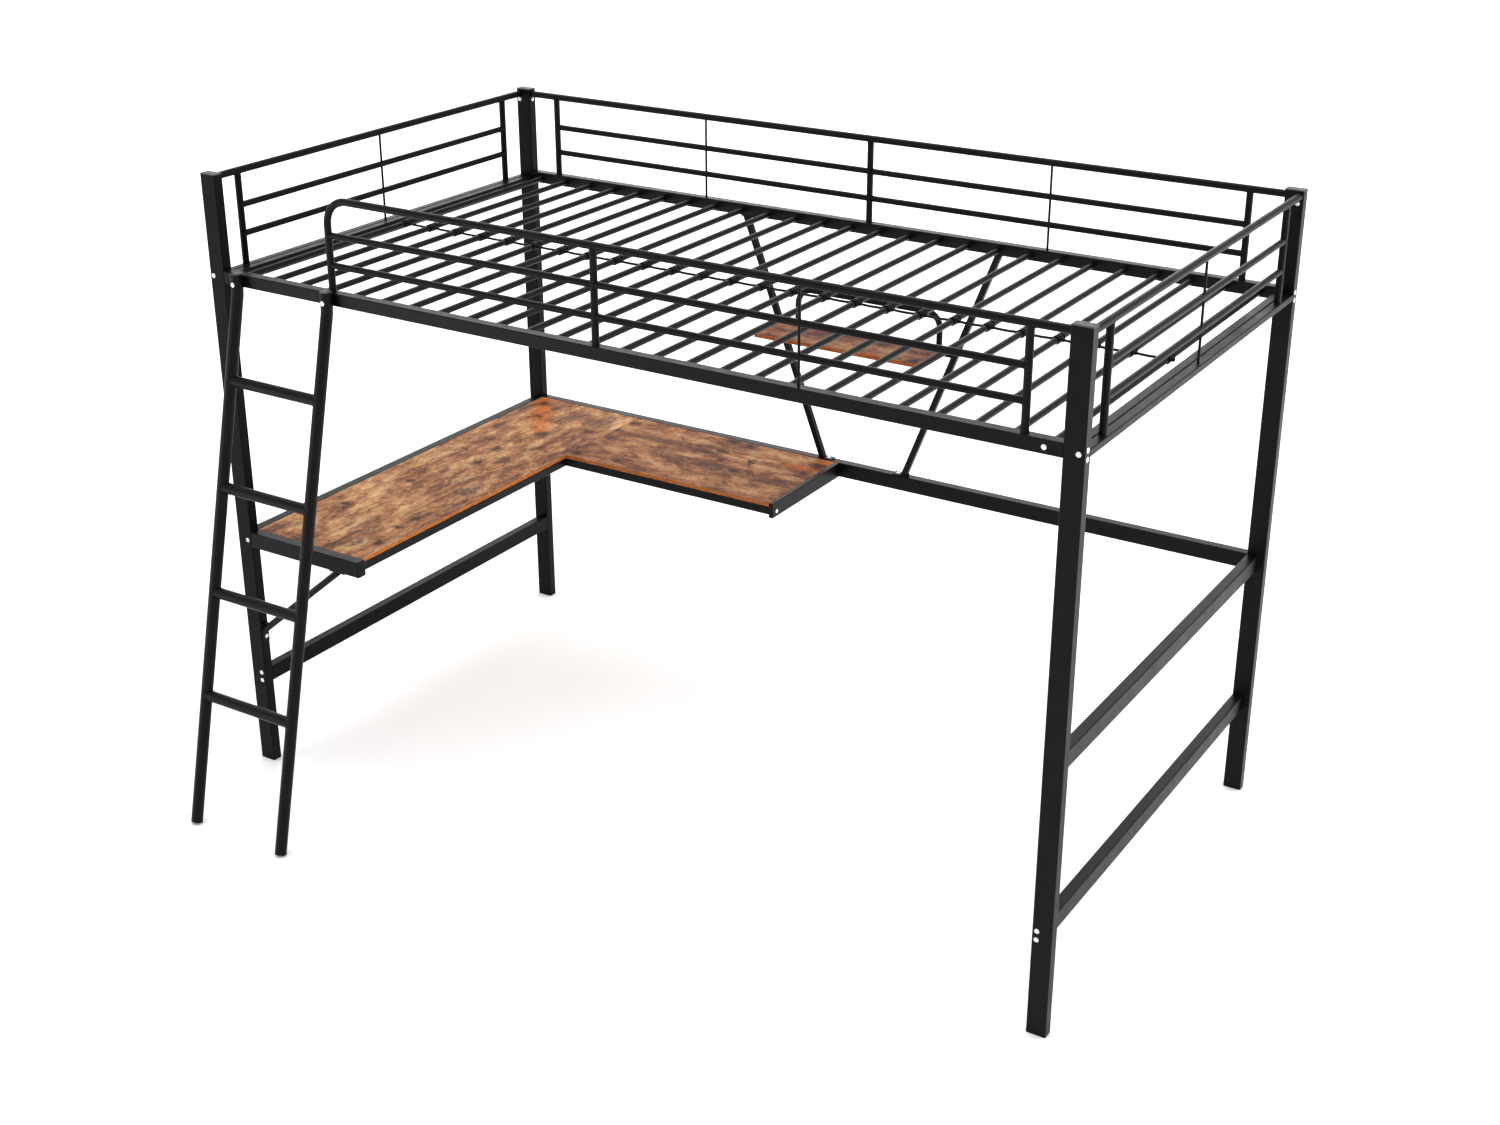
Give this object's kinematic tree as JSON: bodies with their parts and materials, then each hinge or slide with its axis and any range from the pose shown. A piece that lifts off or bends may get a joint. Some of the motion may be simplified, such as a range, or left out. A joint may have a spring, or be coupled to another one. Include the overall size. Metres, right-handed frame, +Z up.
{
  "type": "loft bed with desk",
  "caption": "Tubular steel loft bed with slatted deck, guard rails, sloping end ladder, L-shaped wood desk and small hooped shelf beneath.",
  "frame": {"origin": "on the floor, at the centre of the footprint, which takes in the sloping ladder", "axes": "+Z up; +X along the bed to its right end, away from the ladder; +Y from the ladder side to the back"},
  "size_m": [1.9912, 1.3862, 1.38],
  "materials": {
    "frame_steel": "satin black powder coat",
    "wood_panel": "matt rustic brown laminate with dark knots",
    "post_cap_plastic": "fine-textured black moulding",
    "strap_plastic": "soft black moulding"
  },
  "bodies": {
    "root": {"post_front_left": "frame_steel", "post_front_right": "frame_steel", "post_back_left": "frame_steel", "post_back_right": "frame_steel", "post_cap_front_left": "post_cap_plastic", "post_cap_front_right": "post_cap_plastic", "post_cap_back_left": "post_cap_plastic", "post_cap_back_right": "post_cap_plastic", "front_side_rail": "frame_steel", "back_side_rail": "frame_steel", "left_end_rail": "frame_steel", "right_end_rail": "frame_steel", "left_lower_stretcher": "frame_steel", "right_lower_stretcher": "frame_steel", "right_upper_stretcher": "frame_steel", "back_stretcher": "frame_steel", "left_guard": "frame_steel", "right_guard": "frame_steel", "back_guard_left": "frame_steel", "back_guard_right": "frame_steel", "front_guard": "frame_steel", "slat_01": "frame_steel", "slat_02": "frame_steel", "slat_03": "frame_steel", "slat_04": "frame_steel", "slat_05": "frame_steel", "slat_06": "frame_steel", "slat_07": "frame_steel", "slat_08": "frame_steel", "slat_09": "frame_steel", "slat_10": "frame_steel", "slat_11": "frame_steel", "slat_12": "frame_steel", "slat_13": "frame_steel", "slat_14": "frame_steel", "slat_15": "frame_steel", "slat_16": "frame_steel", "slat_17": "frame_steel", "slat_18": "frame_steel", "slat_19": "frame_steel", "slat_20": "frame_steel", "slat_21": "frame_steel", "slat_22": "frame_steel", "slat_23": "frame_steel", "slat_24": "frame_steel", "slat_25": "frame_steel", "slat_26": "frame_steel", "slat_strap": "strap_plastic", "desk_left_rail": "frame_steel", "desk_front_bar": "frame_steel", "desk_right_bar": "frame_steel", "desk_panel_left": "wood_panel", "desk_panel_back": "wood_panel", "desk_support_frame": "frame_steel", "desk_brace": "frame_steel", "shelf_leg_left": "frame_steel", "shelf_leg_right": "frame_steel", "shelf_frame": "frame_steel", "shelf_board": "wood_panel", "ladder": "frame_steel"}
  },
  "joints": []
}
